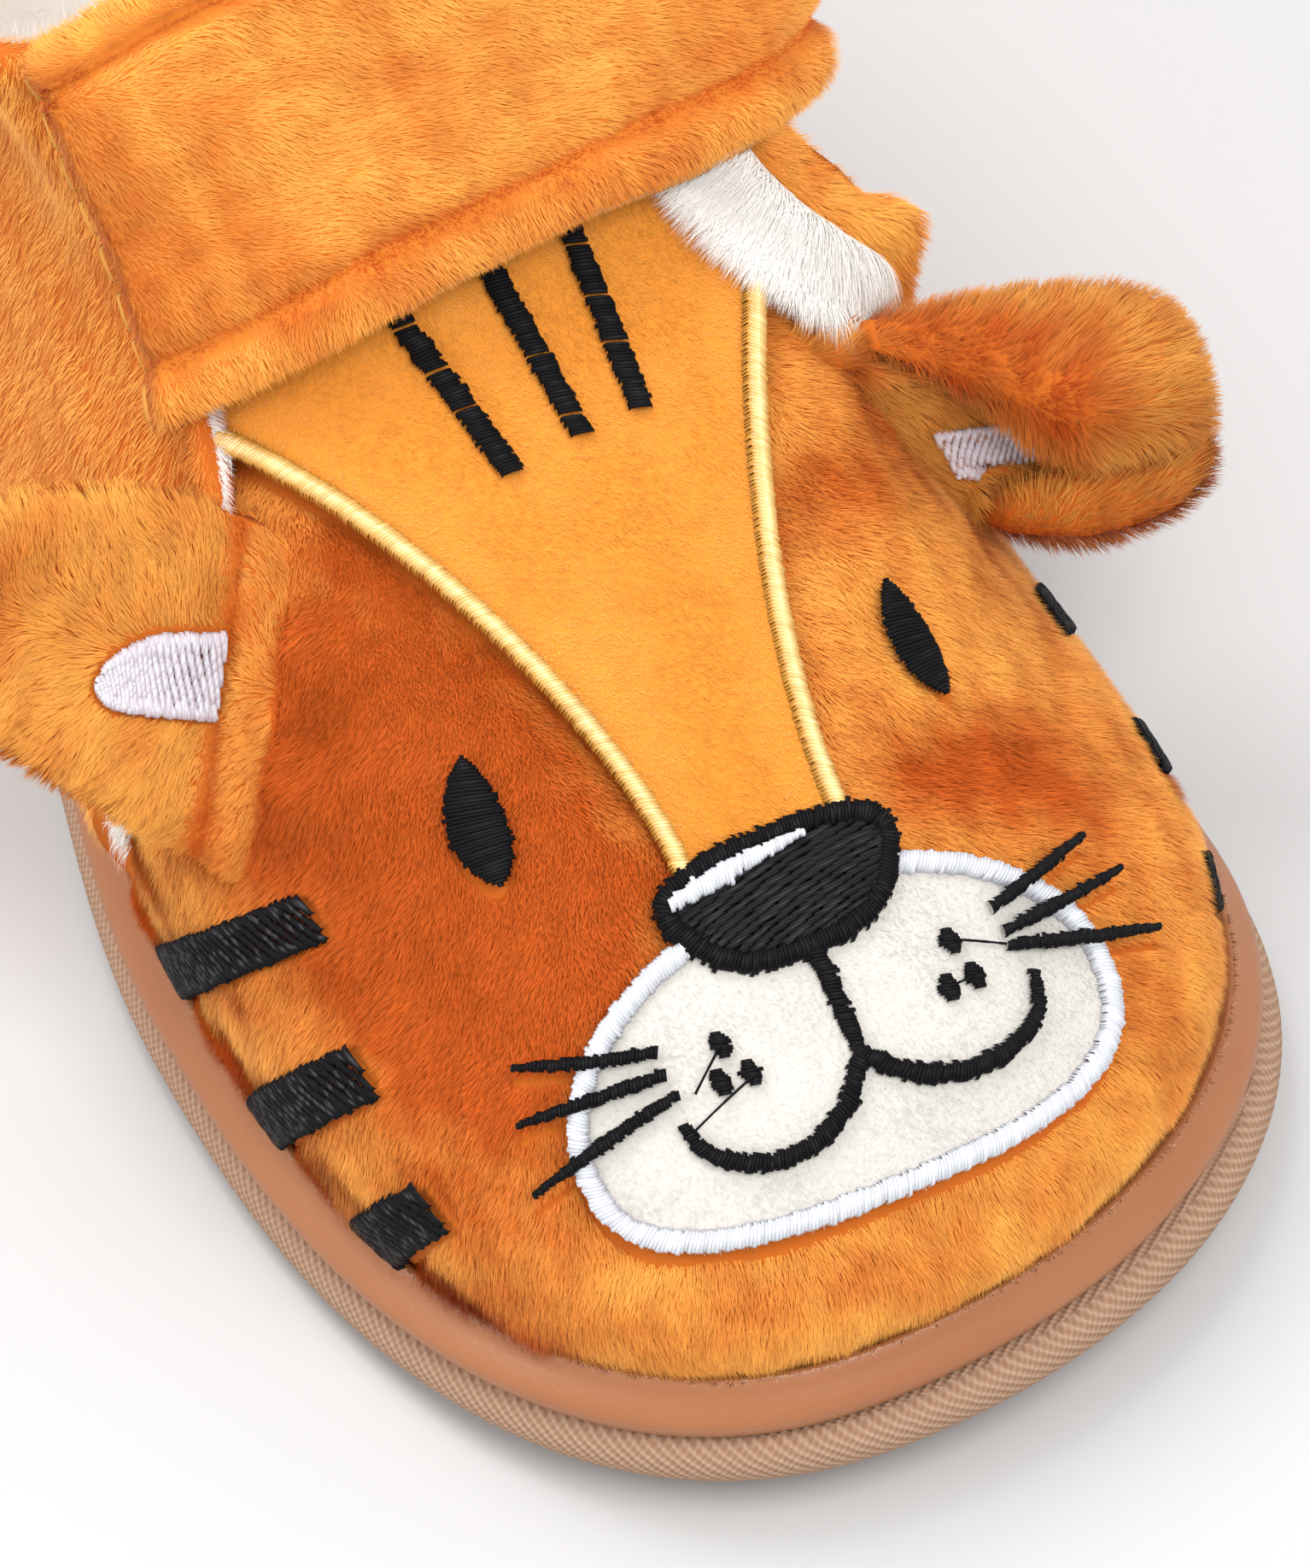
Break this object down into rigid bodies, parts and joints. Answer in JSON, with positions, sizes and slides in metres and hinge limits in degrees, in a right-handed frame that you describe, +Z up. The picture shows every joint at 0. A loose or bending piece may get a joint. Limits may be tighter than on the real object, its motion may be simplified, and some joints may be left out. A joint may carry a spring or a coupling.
{
  "type": "animal slipper",
  "caption": "Child's plush bootie slipper with a big-cat face on the toe, standing ears, a padded strap over the instep, a fur-lined throat and a soft textile sole.",
  "frame": {"origin": "on the floor, on the outsole's underside at mid length", "axes": "+Z up, toe towards -Y, the wearer's left (lateral) side towards +X"},
  "size_m": [0.1137, 0.1881, 0.0908],
  "materials": {
    "outsole_textile": "tan ribbed textile facing",
    "rand": "smooth tan sheet, semi-gloss",
    "lining": "cream-white long pile",
    "plush": "orange plush with a brushed nap",
    "velour": "golden yellow short pile",
    "gold_thread": "shiny gold satin stitch",
    "white_pile": "off-white short pile",
    "black_thread": "black satin stitch"
  },
  "bodies": {
    "root": {"outsole": "outsole_textile", "midsole": "rand", "insole": "lining", "upper": "plush", "strap": "plush", "ear_lateral": "plush", "ear_medial": "plush", "fur_lateral": "lining", "fur_medial": "lining", "forehead_panel": "velour", "cord_lateral": "gold_thread", "cord_medial": "gold_thread", "muzzle_patch": "white_pile", "nose_patch": "black_thread"}
  },
  "joints": []
}
